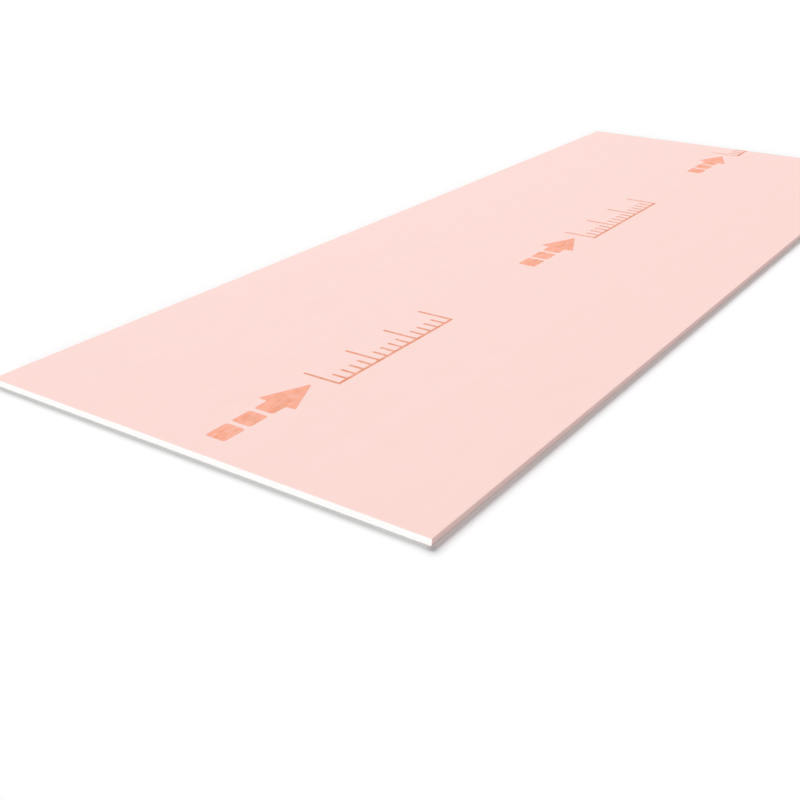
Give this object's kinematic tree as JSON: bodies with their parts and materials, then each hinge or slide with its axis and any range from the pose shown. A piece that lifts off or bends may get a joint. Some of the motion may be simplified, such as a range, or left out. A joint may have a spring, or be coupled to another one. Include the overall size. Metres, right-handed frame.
{
  "type": "gypsum plasterboard sheet",
  "caption": "Square-edge drywall sheet: a plaster core wrapped in pink face paper with a grey back paper, used to line walls and ceilings.",
  "frame": {"origin": "on the floor under the middle of the board, at the underside of the back paper", "axes": "+X along the board's length, +Y across its width, +Z from the back up to the face"},
  "size_m": [2.4, 0.9, 0.0125],
  "materials": {
    "gypsum_plaster": "cut foamed plaster, white, matt and finely porous",
    "pink_face_paper": "smooth calendered board paper, pale pink, matt",
    "grey_back_paper": "recycled liner paper, warm grey, matt"
  },
  "bodies": {
    "root": {"gypsum_core": "gypsum_plaster", "face_paper": "pink_face_paper", "back_paper": "grey_back_paper"}
  },
  "joints": []
}
